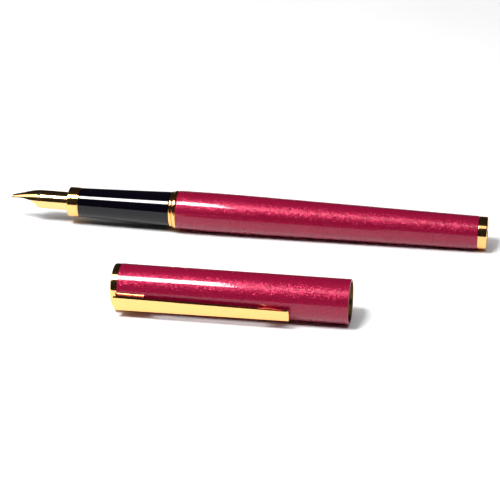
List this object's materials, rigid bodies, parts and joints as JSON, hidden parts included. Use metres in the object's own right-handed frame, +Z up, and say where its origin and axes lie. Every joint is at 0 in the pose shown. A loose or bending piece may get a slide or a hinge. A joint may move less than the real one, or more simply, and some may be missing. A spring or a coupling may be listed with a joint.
{
  "type": "fountain pen",
  "caption": "Slim fountain pen with its cap off: gold nib on a black grip, tapered burgundy barrel with a piston converter inside, and a burgundy cap with a sprung gold clip.",
  "frame": {"origin": "centre of the bounding box at its base: the surface that pen and cap lie on", "axes": "+X from the nib towards the tail, +Y from the cap towards the pen, +Z up from the surface"},
  "size_m": [0.1226, 0.0546, 0.0106],
  "materials": {
    "burgundy_lacquer": "metallic burgundy lacquer on brass, glossy, fine flake",
    "burgundy_disc": "burgundy lacquered disc",
    "gold_plate": "polished gold plate",
    "nib_gold": "polished gold sheet",
    "bare_brass": "turned brass",
    "sleeve_brass": "threaded brass sleeve",
    "black_resin": "glossy black resin",
    "black_plastic": "moulded black plastic",
    "clear_plastic": "clear moulded plastic",
    "bright_chrome": "bright plated band",
    "steel": "bright steel",
    "tipping_alloy": "ground hard alloy",
    "white_seal": "white low-friction plastic"
  },
  "bodies": {
    "barrel": {"barrel_tube": "burgundy_lacquer", "barrel_bush": "bare_brass", "tail_cap": "gold_plate", "tail_disc": "burgundy_disc"},
    "lip_ring": {"barrel_lip_ring": "gold_plate"},
    "front": {"section_trim_ring": "gold_plate", "grip_section": "black_resin", "section_sleeve": "sleeve_brass", "cartridge_nipple": "black_plastic", "nib_collar": "gold_plate", "nib": "nib_gold", "nib_tipping": "tipping_alloy", "feed": "black_plastic"},
    "converter": {"converter_mouth": "black_plastic", "converter_tube": "clear_plastic", "converter_rod_guide": "black_plastic", "converter_band": "bright_chrome", "agitator_ball": "steel"},
    "knob": {"converter_knob": "black_plastic"},
    "piston": {"piston_seal": "white_seal", "piston_rod": "steel"},
    "cap": {"cap_tube": "burgundy_lacquer", "cap_end_ring": "gold_plate", "cap_end_disc": "burgundy_disc", "cap_screw": "steel", "clip_tang": "gold_plate", "inner_cap": "black_plastic", "clutch_ring": "steel"},
    "clip": {"clip": "gold_plate"}
  },
  "joints": [
    {"name": "barrel_pull", "type": "slide", "parent": "barrel", "child": "lip_ring", "axis": [-0.9999, 0, 0.0132], "range_m": [0, 0.07]},
    {"name": "section_twist", "type": "hinge", "parent": "lip_ring", "child": "front", "pos_m": [-0.0172, 0.02227, 0.0052], "axis": [0.9999, 0, -0.0132], "range_deg": [0, 1260]},
    {"name": "converter_pull", "type": "slide", "parent": "front", "child": "converter", "axis": [0.9999, 0, -0.0132], "range_m": [0, 0.007]},
    {"name": "knob_turn", "type": "hinge", "parent": "converter", "child": "knob", "pos_m": [0.01867, 0.02227, 0.00473], "axis": [0.9999, 0, -0.0132], "range_deg": [0, 1801]},
    {"name": "piston_stroke", "type": "slide", "parent": "converter", "child": "piston", "axis": [-0.9999, 0, 0.0132], "range_m": [0, 0.02]},
    {"name": "cap_travel", "type": "slide", "parent": "barrel", "child": "cap", "axis": [-0.9431, 0.3323, 0.0072], "range_m": [0, 0.12788]},
    {"name": "clip_flex", "type": "hinge", "parent": "cap", "child": "clip", "pos_m": [-0.02212, -0.02542, 0.0042], "axis": [0, 0.2079, -0.9781], "range_deg": [0, 4], "stiffness_Nm_per_rad": 2}
  ],
  "couplings": [
    {"joint": "knob_turn", "follows": "piston_stroke", "rad_per_m": 1570.8}
  ]
}
